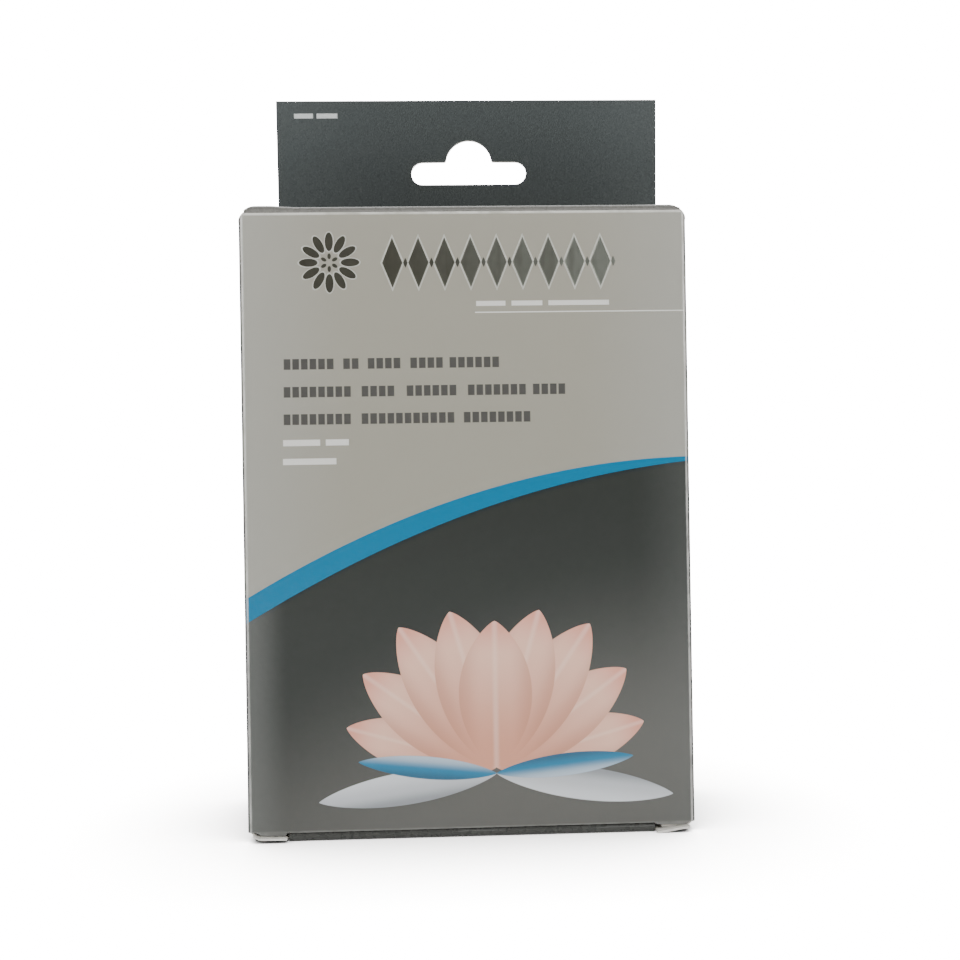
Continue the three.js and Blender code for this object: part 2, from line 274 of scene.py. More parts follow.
def fold_highlights_and_shade(f):
    """Painted highlights along each fold and along the foot, and painted shade on the outer part of each upright
    fold.
    """
    # Noise that breaks up the painted highlights.
    highlight_breakup = f.noise(5, 3).ramp(0.3, 0.6, 0.45, 1.0)
    edge, top = SIDE_X - abs(f.x), CREASE_TOP - f.z
    # Painted shade: the turned outer part of each upright fold is dark.
    f.paint(1 - edge.ramp(0.4, 0.6), linear(58, 58, 56))
    # Painted highlights: pale lines along the upright folds and along the lid crease.
    f.paint(edge.ramp(0.5, 0.65) * (1 - edge.ramp(0.9, 1.3)) * highlight_breakup * 0.6, linear(216, 216, 211))
    f.paint((1 - top.ramp(0.35, 0.75)) * highlight_breakup * edge.ramp(0.5, 1.5) * 0.8, linear(222, 221, 214))
    # Painted highlight: a pale line along the foot.
    foot = f.z - FRONT_LIFT
    f.paint((1 - foot.ramp(0.1, 0.6)) * highlight_breakup * 0.3, linear(160, 160, 156))


def front_print():
    f = Finish("satin print front", linear(150, 147, 135))
    edge = (abs(f.x) / SIDE_X).ramp(0.45, 1.05)
    f.paint(edge * 0.55, linear(160, 160, 155))
    below = arc_height(f, *LOWER_ARC) - f.z
    f.paint(crisp(arc_height(f, *UPPER_ARC) - f.z), linear(0, 110, 149))
    f.paint(crisp(below), linear(46, 49, 46))
    # Painted reflection of the pale floor: the dark field fades to mid grey towards the foot.
    deep = (below / 75).clamp()
    f.paint(crisp(below) * deep.ramp(0.25, 1.0) * 0.8, linear(104, 104, 100))
    f.paint(crisp(below) * (1 - below.ramp(0.0, 1.4)) * 0.7, linear(30, 40, 44))
    # Painted sheen: the dark field is lighter near the left edge and, a little, near the right edge.
    f.paint(crisp(below) * (-f.x).ramp(44.0, 54.5) * 0.55, linear(110, 112, 109))
    f.paint(crisp(below) * f.x.ramp(40.0, 56.0) * 0.25, linear(96, 98, 96))
    f.paint(bar(f, 2.5, 128.7, 54.2, 128.95), linear(222, 222, 216))
    for x, z, widths in BLOCK_ROWS:
        for width in widths:
            ticks = ((f.x - x) / BLOCK_PITCH).math("FRACT")
            whole = BLOCK_PITCH * round(width / BLOCK_PITCH)
            strip = bar(f, x, z - BLOCK_HALF, x + whole, z + BLOCK_HALF)
            f.paint(strip * crisp(ticks - 0.16) * crisp(0.94 - ticks), linear(76, 75, 72))
            x += width + BLOCK_SPACE
    for x, z, widths in BAR_ROWS:
        for width in widths:
            f.paint(bar(f, x, z - BAR_HALF, x + width, z + BAR_HALF), linear(216, 215, 210))
            x += width + BAR_SPACE
    for x, width in ((2.8, 7.2), (11.5, 7.6), (20.6, 15.0)):
        f.paint(bar(f, x, 130.4, x + width, 131.6), linear(214, 213, 208))
    printed_flower(f)
    fold_highlights_and_shade(f)
    return f.film(0.05, 0.23)


front_finish = front_print()
print("front print:", len(front_finish.node_tree.nodes), "nodes")


# %% [markdown]
# ### The plain prints and the bare board
# The sides, the lids and the header carry one ink each under the same film, a little cloudy and scuffed. The
# sides get a painted shade towards the front fold and the header a painted sheen towards its top and ends; each
# mask comes from the distance to the fold or the end. Inside, and on every cut edge, the board is bare: matt,
# white and slightly fibrous.

# %% Plain prints, bare board and cut edges
def plain_print(name, ink, edge_ink, more=None):
    f = Finish(name, linear(*ink))
    cloud = f.noise(22, 2)
    f.paint(cloud.ramp(0.35, 0.75) * 0.25, linear(*edge_ink))
    scuff = f.noise(2.5, 4, (1, 1, 0.35))
    f.paint(scuff.ramp(0.68, 0.85) * 0.05, linear(225, 223, 218))
    if more:
        more(f)
    return f.film(0.03, 0.26)


def raw_board(name, ink, rough, fibre, bleed=None):
    f = Finish(name, linear(*ink))
    f.paint(f.noise(1.2, 5, (1, 1, 0.2)).ramp(0.4, 0.75) * 0.5, linear(*(c - 16 for c in ink)))
    f.paint(f.noise(0.25, 2).ramp(0.6, 0.8) * 0.4, linear(250, 248, 244))
    if bleed:
        f.paint(crisp(abs(f.x) - SIDE_X + 5.5, 0.15), linear(*bleed))
    return f.finish(f.noise(0.6, 2) * 0.15 + rough, f.noise(fibre, 4, (1, 1, 0.3)), 0.5, 0.0001)


def header_sheen_and_marks(f):
    """The header is painted paler at its top and at both ends, a painted sheen, and carries a short printed mark."""
    # Painted sheen: paler towards the top and towards both ends.
    f.paint((f.z.ramp(168, 195) * 0.25 + abs(f.x - 2).ramp(18, 56) * 0.2).clamp(), linear(86, 92, 92))
    for start, end in ((-45.4, -40.2), (-39.2, -33.5)):
        f.paint(bar(f, start, 188.3, end, 189.6), linear(196, 200, 198))


def side_shade(f):
    """Painted shade on the side, darkest at the front fold, where it meets the painted shade of the front's fold."""
    behind = f.y - (FRONT_Y + FOLD)
    # Painted shade along the front fold.
    f.paint(1 - behind.ramp(-0.2, 4.5), linear(62, 62, 60))


side_finish = plain_print("satin print sides", (118, 116, 111), (128, 126, 121), side_shade)
lid_finish = plain_print("satin print lid", (104, 103, 98), (116, 115, 110))
base_finish = plain_print("satin print base", (64, 65, 62), (76, 77, 74))
header_finish = plain_print("satin print header", (55, 59, 58), (64, 68, 67), header_sheen_and_marks)
header_back_finish = plain_print("satin print header back", (60, 63, 62), (74, 79, 80))
bare_finish = raw_board("bare white board", (228, 225, 217), 0.75, 0.7)
flap_finish = raw_board("inked flap fold", (226, 223, 215), 0.7, 0.7, bleed=(118, 116, 111))
edge_finish = raw_board("raw cut edge", (232, 229, 222), 0.85, 0.25)
print("finishes:", len(bpy.data.materials))


# %% [markdown]
# ## From a flat blank to a folded board
# A blank is a flat outline. Blender could fill it as one face, but a board must bend at its creases and may bow
# a little in between, so it needs rows of vertices where it bends. Here the outline and a grid of rows and
# columns go into a constrained Delaunay triangulation, which cuts them all into each other. Triangles that lie
# outside the outline or in a hole are dropped.

# %% Cut the flat blank
def contains(polygon, x, y):
    """Even-odd test of a point against a polygon."""
    inside = False
    for (x0, y0), (x1, y1) in zip(polygon, polygon[1:] + polygon[:1]):
        if (y0 > y) != (y1 > y) and x < x0 + (y - y0) / (y1 - y0) * (x1 - x0):
            inside = not inside
    return inside


def spread(start, end, step):
    """Numbers from start to end, no more than step apart."""
    count = max(1, math.ceil((end - start) / step))
    return [start + (end - start) * i / count for i in range(count + 1)]


def flat_blank(name, outline, columns, rows, holes=(), crown=None):
    """A flat mesh with its printed side up. crown(x, s) lifts it where the board bows outwards."""
    points, edges = [], []
    for ring in (outline, *holes):
        first = len(points)
        points += ring
        edges += [(first + i, first + (i + 1) % len(ring)) for i in range(len(ring))]
    low = [min(p[i] for p in outline) - 1 for i in (0, 1)]
    high = [max(p[i] for p in outline) + 1 for i in (0, 1)]
    for x in columns:
        edges.append((len(points), len(points) + 1))
        points += [(x, low[1]), (x, high[1])]
    for s in rows:
        edges.append((len(points), len(points) + 1))
        points += [(low[0], s), (high[0], s)]
    found, _, faces, *_ = delaunay_2d_cdt([Vector(p) for p in points], edges, [], 0, 1e-5)
    kept = []
    for face in faces:
        x, y = (sum(found[i][k] for i in face) / len(face) for k in (0, 1))
        if contains(outline, x, y) and not any(contains(hole, x, y) for hole in holes):
            kept.append(face)
    mesh = bpy.data.meshes.new(name)
    lift = crown or (lambda x, s: 0.0)
    mesh.from_pydata([(p.x * MM, p.y * MM, lift(p.x, p.y) * MM) for p in found], [], kept)
    work = bmesh.new()
    work.from_mesh(mesh)
    bmesh.ops.delete(work, geom=[v for v in work.verts if not v.link_faces], context="VERTS")
    for face in work.faces:
        if face.normal.z < 0:
            face.normal_flip()
    work.to_mesh(mesh)
    work.free()
    return mesh


# %% [markdown]
# Folding follows one rule, so it is a Geometry Nodes tree. The blank is extruded to the board's thickness, and
# then every point is carried round up to two creases. A point past a crease line turns about the centre of the
# fold; what lies beyond the fold goes on straight in the new direction. The far crease is worked out first, so
# the near one carries the finished far end with it.

# %% What both trees share
def new_tree(title, result, **inputs):
    """A tree with named inputs of each kind. Gives the tree, the inputs' identifiers and their values."""
    tree = bpy.data.node_groups.new(title, "GeometryNodeTree")
    tree.interface.new_socket(result, in_out="OUTPUT", socket_type="NodeSocketGeometry")
    names = {}
    for kind, group in inputs.items():
        for name in group:
            slot = tree.interface.new_socket(name, in_out="INPUT", socket_type=f"NodeSocket{kind}")
            names[name] = slot.identifier
    given = add_node(tree, "NodeGroupInput")
    return tree, names, {name: Value(tree, given.outputs[name]) for name in names}


def raise_faces(tree, flat, height):
    """The faces of a flat mesh, lifted together, with walls round them."""
    return add_node(tree, "GeometryNodeExtrudeMesh", {"mode": "FACES"}, {
        "Mesh": flat, "Offset": (0.0, 0.0, 1.0), "Offset Scale": height, "Individual": False})


def close_under(tree, flat, raised):
    """The lifted faces, closed from below by the flat mesh turned over."""
    under = add_node(tree, "GeometryNodeFlipFaces", {}, {"Mesh": flat})
    both = add_node(tree, "GeometryNodeJoinGeometry")
    for part in (under, raised):
        tree.links.new(part.outputs[0], both.inputs[0])
    return add_node(tree, "GeometryNodeMergeByDistance", {}, {"Geometry": both.outputs[0], "Distance": 1e-6})


def point_parts(tree):
    """The x, y and z of each point."""
    point = add_node(tree, "GeometryNodeInputPosition")
    parts = add_node(tree, "ShaderNodeSeparateXYZ", {}, {"Vector": point.outputs[0]})
    return [Value(tree, parts.outputs[i]) for i in range(3)]


# %% The folding tree
def folding_tree():
    tree, names, value = new_tree(
        "Fold a board", "Board", Geometry=["Blank"], Material=["Print", "Edge", "Inside"],
        Float=["Thickness", "Line 1", "Radius 1", "Turn 1", "Line 2", "Radius 2", "Turn 2"])
    raised = raise_faces(tree, value["Blank"], value["Thickness"])
    slab = close_under(tree, value["Blank"], raised)
    x, s, height = point_parts(tree)
    u, v = s, value["Thickness"] - height
    for crease in ("2", "1"):
        line, radius, turn = (value[f"{part} {crease}"] for part in ("Line", "Radius", "Turn"))
        angle = ((s - line) / radius).max(0.0).min(turn)
        past = u - line - angle * radius
        arm = radius - v
        u, v = line + arm * angle.sin() + past * angle.cos(), radius - arm * angle.cos() + past * angle.sin()
    folded = add_node(tree, "ShaderNodeCombineXYZ", {}, {"X": x, "Y": u, "Z": -v})
    bent = add_node(tree, "GeometryNodeSetPosition", {}, {
        "Geometry": slab.outputs[0], "Position": folded.outputs[0]})
    shape = add_node(tree, "GeometryNodeRealizeInstances", {}, {"Geometry": bent.outputs[0]})
    for name, chosen in (("Inside", None), ("Print", raised.outputs["Top"]), ("Edge", raised.outputs["Side"])):
        inputs = {"Geometry": shape.outputs[0], "Material": value[name]}
        if chosen:
            inputs["Selection"] = chosen
        shape = add_node(tree, "GeometryNodeSetMaterial", {}, inputs)
    result = add_node(tree, "NodeGroupOutput")
    tree.links.new(shape.outputs[0], result.inputs[0])
    return tree, names


fold_tree, fold_inputs = folding_tree()
print("folding tree:", len(fold_tree.nodes), "nodes")


# %% Fold a blank and put it in place
def place_matrix(origin, across, along, inward):
    """From blank coordinates to the carton's. The printed side faces away from inward."""
    columns = [Vector(across), Vector(along), -Vector(inward)]
    matrix = Matrix([[c[i] for c in columns] for i in range(3)]).to_4x4()
    matrix.translation = Vector(origin) * MM
    return matrix


def tree_object(name, mesh, tree, names, given):
    """A plain object with the mesh that a tree makes from another mesh and from the inputs given."""
    obj = bpy.data.objects.new(name, mesh)
    bpy.context.scene.collection.objects.link(obj)
    modifier = obj.modifiers.new(tree.name, "NODES")
    modifier.node_group = tree
    for key, item in given.items():
        modifier[names[key]] = item
    bpy.context.view_layer.update()
    finished = obj.evaluated_get(bpy.context.evaluated_depsgraph_get())
    mesh = bpy.data.meshes.new_from_object(finished)
    obj.modifiers.remove(modifier)
    obj.data = mesh
    mesh.name = name
    return obj


def fold_board(name, blank, place, printed, creases, inside=None):
    """A finished board. Each crease is its line on the blank, its radius and its turn."""
    given = {"Thickness": BOARD * MM, "Print": printed, "Inside": inside or bare_finish, "Edge": edge_finish}
    for number in (1, 2):
        line, radius, turn = creases[number - 1] if number <= len(creases) else (0.0, 1.0, 0.0)
        given.update({f"Line {number}": line * MM, f"Radius {number}": radius * MM, f"Turn {number}": turn})
    obj = tree_object(name, blank, fold_tree, fold_inputs, given)
    mesh = obj.data
    mesh.transform(place)
    if place.determinant() < 0:
        mesh.flip_normals()
    mesh.shade_smooth()
    mesh.set_sharp_from_angle(angle=SHARP)
    print(f"{name}: {len(mesh.polygons)} faces")
    return obj


def rounded(corners, steps=6):
    """A polygon whose corners are rounded where their third number gives a radius."""
    ring = []
    for i, (x, y, *radius) in enumerate(corners):
        if not radius or not radius[0]:
            ring.append((x, y))
            continue
        here = Vector((x, y))
        before, after = Vector(corners[i - 1][:2]), Vector(corners[(i + 1) % len(corners)][:2])
        start = here + (before - here).normalized() * radius[0]
        end = here + (after - here).normalized() * radius[0]
        for k in range(steps + 1):
            t = k / steps
            p = start * (1 - t) ** 2 + here * (2 * t * (1 - t)) + end * t ** 2
            ring.append((p.x, p.y))
    return ring


def smooth(t):
    """A step from 0 to 1 with a soft start and a soft end."""
    t = min(1.0, max(0.0, t))
    return t * t * (3 - 2 * t)


def bow(x, y, half_x, half_y, height):
    """A low cushion of the given height in the middle that dies away towards the four edges."""
    return height * math.cos(min(1, abs(x) / half_x) * QUARTER) * math.cos(min(1, abs(y) / half_y) * QUARTER)


def fold_rows(start, radius, turn=QUARTER, steps=8):
    """The rows across a fold, and where the straight board goes on."""
    return spread(start, start + radius * turn, radius * turn / steps)


# %% [markdown]
# ## The body
# The front board wraps round both upright folds. Its top corners are cut away beside the lid, and its foot has a
# small notch at each corner. A closed carton is never quite flat: the walls bow out by half a millimetre, which
# bends the reflections. The outline gives the cuts, and a crown on the flat blank gives the bow.

# %% Front board
def front_board():
    arc = FOLD * QUARTER
    flat = WIDTH - 2 * FOLD
    length = flat + 2 * arc
    middle = length / 2

    def s_at(x):
        """Place on the blank of a point on the flat part of the front."""
        return middle + x

    corner_top, lock = CREASE_TOP - 0.9, TUCK_X + 0.9
    foot = [(NOTCH_LIFT, 0), (NOTCH_LIFT, s_at(2.0 - SIDE_X)), (LOCK_LIFT + 0.1, s_at(3.4 - SIDE_X)),
            (LOCK_LIFT - 0.3, s_at(-lock)), (FRONT_LIFT - 0.05, s_at(-lock + 0.5)),
            (FRONT_LIFT + 0.1, s_at(lock - 0.9)), (LOCK_LIFT + 0.25, s_at(lock - 0.5)),
            (LOCK_LIFT + 0.1, s_at(SIDE_X - 2.4)), (NOTCH_LIFT, s_at(SIDE_X - 1.4)), (NOTCH_LIFT, length)]
    outline = rounded(foot + [
        (corner_top - 1.6, length), (corner_top - 0.2, length - 1.0, 0.6), (corner_top + 0.6, length - 1.9, 0.4),
        (CREASE_TOP, s_at(LID_X) - 0.3), (CREASE_TOP, s_at(-LID_X) + 0.3),
        (corner_top + 0.6, 1.9, 0.4), (corner_top - 0.2, 1.0, 0.6), (corner_top - 1.6, 0)])
    rows = fold_rows(0, FOLD) + spread(arc, arc + flat, 4)[1:-1] + fold_rows(arc + flat, FOLD)
    columns = spread(FRONT_LIFT, CREASE_TOP - 2, 4) + spread(CREASE_TOP - 1.6, CREASE_TOP, 0.2)
    half = (CREASE_TOP - FRONT_LIFT) / 2
    mesh = flat_blank("front", outline, columns, rows, crown=lambda x, s: bow(
        x - FRONT_LIFT - half, s - middle, half, flat / 2, FRONT_BOW))
    place = place_matrix((-SIDE_X, FRONT_Y + FOLD, 0), (0, 0, 1), (0, -1, 0), (1, 0, 0))
    board = fold_board("front_board", mesh, place, front_finish,
                       [(0, FOLD, QUARTER), (arc + flat, FOLD, QUARTER)])
    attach(board, "sleeve")
    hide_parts("front_panel")


front_board()


# %% [markdown]
# ## The foil stamping
# The upper part of the front carries ornaments stamped in dark foil: they stand up to a fifth of a millimetre
# proud, with soft shoulders. A ring of petals and a row of lozenges both repeat one small shape, so Geometry Nodes place
# the copies, raise them, shrink their tops for the shoulder and then lay them on the bowed board.

# %% Foil finish
def foil():
    f = Finish("dark stamped foil", linear(72, 71, 62))
    # Painted reflection: the foil is painted lighter towards the right.
    f.paint((f.x / 38).ramp(-0.6, 1.0) * 0.8, linear(124, 127, 119))
    f.paint(f.noise(3.0, 3, (1, 1, 0.15)).ramp(0.4, 0.7) * 0.35, linear(60, 58, 48))
    return f.finish(f.noise(1.2, 3) * 0.2 + 0.28, f.noise(0.6, 3), 0.2, 0.00005, Metallic=0.75)


def pale_rim_highlight():
    # The rim's pale colour is a painted highlight: the light caught by the raised shoulder round each stamp.
    f = Finish("pressed rim of the stamping", linear(172, 171, 162))
    f.paint(f.noise(2.0, 3).ramp(0.4, 0.7) * 0.4, linear(186, 186, 178))
    return f.finish(f.noise(0.5, 3) * 0.08 + 0.24, f.noise(2.5, 2), 0.1, Coat_Weight=0.1, Coat_Roughness=0.3)


foil_finish, rim_highlight_finish = foil(), pale_rim_highlight()


# %% The stamping tree
def stamping_tree():
    tree, names, value = new_tree(
        "Stamp a row or a ring", "Stamps", Int=["Copies", "Corners"], Material=["Foil"],
        Float=["Ring", "Pitch", "Width", "Height", "Relief", "Middle X", "Middle Z"])
    index = Value(tree, add_node(tree, "GeometryNodeInputIndex").outputs[0])
    ring_turn = index / value["Copies"] * (2 * math.pi) * (value["Ring"] > 0.0)
    along = (index - (value["Copies"] - 1) / 2) * value["Pitch"]
    spot = add_node(tree, "ShaderNodeCombineXYZ", {}, {
        "X": along - ring_turn.sin() * value["Ring"], "Y": ring_turn.cos() * value["Ring"]})
    points = add_node(tree, "GeometryNodePoints", {}, {"Count": value["Copies"], "Position": spot.outputs[0]})
    shape = add_node(tree, "GeometryNodeMeshCircle", {"fill_type": "NGON"}, {
        "Vertices": value["Corners"], "Radius": 0.5})
    size = add_node(tree, "ShaderNodeCombineXYZ", {}, {"X": value["Width"], "Y": value["Height"], "Z": 1.0})
    sized = add_node(tree, "GeometryNodeTransform", {}, {"Geometry": shape.outputs[0], "Scale": size.outputs[0]})
    heading = add_node(tree, "ShaderNodeCombineXYZ", {}, {"Z": ring_turn})
    copies = add_node(tree, "GeometryNodeInstanceOnPoints", {}, {
        "Points": points.outputs[0], "Instance": sized.outputs[0], "Rotation": heading.outputs[0]})
    flat = add_node(tree, "GeometryNodeRealizeInstances", {}, {"Geometry": copies.outputs[0]})

    raised = raise_faces(tree, flat.outputs[0], value["Relief"])
    shoulder = add_node(tree, "GeometryNodeScaleElements", {}, {
        "Geometry": raised.outputs[0], "Selection": raised.outputs["Top"], "Scale": 0.86})
    closed = close_under(tree, flat.outputs[0], shoulder)

    x, z, height = point_parts(tree)
    x, z = x + value["Middle X"], z + value["Middle Z"]
    half_x, half_z = (SIDE_X - FOLD) * MM, (CREASE_TOP - FRONT_LIFT) / 2 * MM
    bowed = ((abs(x) / half_x).min(1.0) * QUARTER).cos() * (
        (abs(z - (FRONT_LIFT * MM + half_z)) / half_z).min(1.0) * QUARTER).cos() * (FRONT_BOW * MM)
    laid = add_node(tree, "ShaderNodeCombineXYZ", {}, {
        "X": x, "Y": FRONT_Y * MM + FOIL_SINK * MM - bowed - height, "Z": z})
    on_board = add_node(tree, "GeometryNodeSetPosition", {}, {
        "Geometry": closed.outputs[0], "Position": laid.outputs[0]})
    result = add_node(tree, "GeometryNodeSetMaterial", {}, {
        "Geometry": on_board.outputs[0], "Material": value["Foil"]})
    end = add_node(tree, "NodeGroupOutput")
    tree.links.new(result.outputs[0], end.inputs[0])
    return tree, names


# %% Stamp the ornaments
def stamp(name, material, relief, **sizes):
    """An ornament on the front board. Lengths are in millimetres, Copies and Corners are counts."""
    given = {"Relief": relief * MM, "Foil": material}
    for key, item in sizes.items():
        key = key.replace("_", " ")
        given[key] = item if key in ("Copies", "Corners") else item * MM
    obj = tree_object(name, bpy.data.meshes.new(name), stamp_tree, stamp_inputs, given)
    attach(obj, "sleeve")
    print(f"{name}: {len(obj.data.polygons)} faces")


stamp_tree, stamp_inputs = stamping_tree()
ring = dict(Copies=12, Corners=18, Ring=5.1, Pitch=0.0, Middle_X=-33.0, Middle_Z=141.4)
heart = dict(Copies=6, Corners=14, Ring=1.55, Pitch=0.0, Middle_X=-33.0, Middle_Z=141.4)
row = dict(Copies=9, Corners=4, Ring=0.0, Pitch=6.4, Middle_Z=141.2)
# The pale rims under the foil carry a painted highlight round each stamp.
stamp("petal_rims", rim_highlight_finish, 0.09, Width=2.6, Height=5.5, **ring)
stamp("foil_petals", foil_finish, 0.2, Width=2.1, Height=4.9, **ring)
stamp("foil_heart", foil_finish, 0.16, Width=0.9, Height=1.5, **heart)
stamp("lozenge_rims", rim_highlight_finish, 0.09, Width=6.2, Height=14.8, Middle_X=8.0, **row)
stamp("foil_lozenges", foil_finish, 0.2, Width=5.3, Height=13.2, Middle_X=8.0, **row)
stamp("foil_beads", foil_finish, 0.16, Width=1.2, Height=2.6, Middle_X=11.2, **row)

# %% [markdown]
# ## The other walls
# On the real blank each side wall runs on round its back fold, and two back walls overlap and are glued. A plain
# box would have the same outline, but the folds and the slight bow catch the light, so each wall comes from the
# same folding tree as the front.

# %% Side boards
def side_board(name, node, side, flat):
    """A side wall from the front fold round the back fold."""
    arc = FOLD * QUARTER
    low, high = LAYER + DUST_FOLD, SEAM - DUST_FOLD
    outline = rounded([
        (low - LAYER, 0), (low - LAYER, 0.5), (low, 1.5), (low, flat - 0.5), (low - LAYER, flat + 0.3),
        (low - LAYER, flat + arc), (high + LAYER, flat + arc), (high + LAYER, flat + 0.3), (high, flat - 0.5),
        (high, 1.5), (high + LAYER, 0.5), (high + LAYER, 0)])
    rows = spread(0, flat, 4) + fold_rows(flat, FOLD)[1:]
    columns = spread(low, high, 4)
    half = (high - low) / 2
    mesh = flat_blank(name, outline, columns, rows, crown=lambda x, s: bow(
        x - low - half, s - flat / 2, half, flat / 2, 0.5))
    place = place_matrix((side * SIDE_X, FRONT_Y + FOLD, 0), (0, 0, 1), (0, 1, 0), (-side, 0, 0))
    board = fold_board(name, mesh, place, side_finish, [(flat, FOLD, QUARTER)])
    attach(board, "sleeve")
    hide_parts(node)


side_board("left_side_board", "left_side_panel", -1, DEPTH - 2 * FOLD)
side_board("right_side_board", "right_side_panel", 1, DEPTH + BOARD + GLUE - 2 * FOLD)


# %% Back boards
def back_board(name, node, y, start, end, low, low_end, side, printed, height):
    """A back wall. It starts beside an upright fold and ends as a cut edge."""
    width = abs(end - start)
    outline = [(low, 0), (low, width), (SEAM, width), (SEAM, 0)]
    if low_end:
        inset = LID_INSET - FOLD
        outline = [(low, 0), (low, inset), (low_end, inset), (low_end, width), (SEAM, width), (SEAM, 0)]
    half = (SEAM - low) / 2
    mesh = flat_blank(name, outline, spread(low, SEAM, 4), spread(0, width, 4), crown=lambda x, s: bow(
        x - low - half, s - width / 2, half, width / 2, height))
    place = place_matrix((start, y, 0), (0, 0, 1), (side, 0, 0), (0, -1, 0))
    board = fold_board(name, mesh, place, printed, [])
    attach(board, "sleeve")
    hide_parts(node)


back_board("inner_back_board", "inner_back_panel", BACK_Y, FOLD - SIDE_X, SIDE_X - FOLD - 0.3, 2.5, LID_FOLD, 1,
           bare_finish, 0.3)
back_board("outer_back_board", "outer_back_panel", OUTER_Y, SIDE_X - FOLD, 1 - SIDE_X, 1.5, None, -1,
           side_finish, 0.3)

# %% [markdown]
# ## The header
# Both back boards run on above the lid and are glued together, so the header is two plies thick. It leans
# forward a little, with a soft bend just above the lid. The hole is the usual Euro slot: a bar for flat hooks
# with a dome for a single wire.

# %% Header with its Euro slot
def euro_slot(middle, foot):
    """The slot's outline: round ends, and fillets where the dome meets the bar."""
    bar_height, height, width, dome, fillet = 6.2, 12.1, 32.0, 6.4, 0.8
    end = bar_height / 2
    end_x, dome_y = width / 2 - end, height - dome
    start = math.asin((bar_height + fillet - dome_y) / dome)
    dome_x = dome * math.cos(start)
    half = []
    for k in range(13):
        a = -QUARTER + math.pi * k / 12
        half.append((end_x + end * math.cos(a), end + end * math.sin(a)))
    for k in range(1, 5):
        t = k / 4
        half.append(((1 - t) ** 2 * (dome_x + fillet) + 2 * t * (1 - t) * dome_x + t * t * dome_x,
                     (1 - t) ** 2 * bar_height + 2 * t * (1 - t) * bar_height + t * t * (bar_height + fillet)))
    for k in range(1, 12):
        a = start + (QUARTER - start) * k / 12
        half.append((dome * math.cos(a), dome_y + dome * math.sin(a)))
    half.append((0.0, height))
    full = half + [(-x, y) for x, y in reversed(half[:-1])]
    return [(y + foot, x + middle) for x, y in full]


def header():
    """Two plies whose cut edges don't quite agree, as on a real folded blank."""
    left, right, foot = HEADER_LEFT - SIDE_X, SIDE_X, SEAM - SEAM_GAP
    lift = TOP - foot
    length = (HEADER_TOP - TOP) / math.cos(HEADER_LEAN) + lift
    boards = []
    for ply, (y, inward, shrink, printed) in enumerate((
            (BACK_Y - BOARD, (0, 1, 0), 0.0, header_finish), (OUTER_Y, (0, -1, 0), 0.12, header_back_finish))):
        outline = [(0.0, left + shrink), (0.0, right), (length - shrink, right), (length - shrink, left + shrink)]
        slot = euro_slot((left + right) / 2 + SLOT_SHIFT + shrink, lift + SLOT_LIFT)
        columns = spread(0, 2.4, 0.3) + spread(2.4, length, 4)[1:]
        mesh = flat_blank(f"ply {ply}", outline, columns, spread(left, right, 4), [slot])
        place = place_matrix((0, y, foot), (0, 0, 1), (1, 0, 0), inward)
        board = fold_board(f"header_ply_{ply}", mesh, place, printed, [], inside=edge_finish)
        for vertex in board.data.vertices:
            z = vertex.co.z / MM - TOP
            if z > 0:
                eased = z * z / 3 if z < 1.5 else z - 0.75
                vertex.co.y -= eased * math.tan(HEADER_LEAN) * MM
                vertex.co.z -= z * (1 - math.cos(HEADER_LEAN)) * MM
        boards.append(board)
    return boards


def join(name, boards):
    """One object from several."""
    work = bmesh.new()
    materials = []
    for board in boards:
        start = len(work.faces)
        work.from_mesh(board.data)
        work.faces.ensure_lookup_table()
        local = []
        for material in board.data.materials:
            if material not in materials:
                materials.append(material)
            local.append(materials.index(material))
        for face in work.faces[start:]:
            face.material_index = local[face.material_index]
    mesh = bpy.data.meshes.new(name)
    work.to_mesh(mesh)
    work.free()
    for material in materials:
        mesh.materials.append(material)
    for board in boards:
        bpy.data.objects.remove(board)
    obj = bpy.data.objects.new(name, mesh)
    bpy.context.scene.collection.objects.link(obj)
    mesh.set_sharp_from_angle(angle=SHARP)
    return obj


hang_tab = join("hang_tab_board", header())
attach(hang_tab, "sleeve")
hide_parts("hang_tab")

# %% [markdown]
# ## The closures
# Each lid is one board with its crease, and the piece starts on the wall. The tuck flap hangs on the lid in the
# same way, and the dust flaps on the side walls. The bottom closure is the top one turned over, but its lid
# reaches further and its two ears curl out under the front wall.

# %% Closure frames
class End:
    """One end of the carton. Its hinge corner, its direction along the lid and its direction out of the carton."""

    def __init__(self, name, y, z, along, out, lid_material, slot, reach, ear_reach, tuck_fold):
        self.name, self.y, self.z, self.along, self.out = name, y, z, along, out
        self.lid_material, self.slot = lid_material, slot
        self.reach, self.ear_reach, self.tuck_fold = reach, ear_reach, tuck_fold

    def point(self, x, forward, outward):
        """A point from its distance past the hinge corner and its height above the lid."""
        return (x, self.y + self.along * forward, self.z + self.out * outward)

    def metres(self, *place):
        return tuple(c * MM for c in self.point(*place))


ends = [End("top", FRONT_Y, TOP, 1, 1, lid_finish, "lid_print", LID_REACH, LID_REACH, LID_FOLD),
        End("bottom", BACK_Y, 0.0, -1, -1, base_finish, "base_print", LID_REACH + 0.85, DEPTH + EAR_PROUD, 1.2)]
print("closures:", ", ".join(end.name for end in ends))


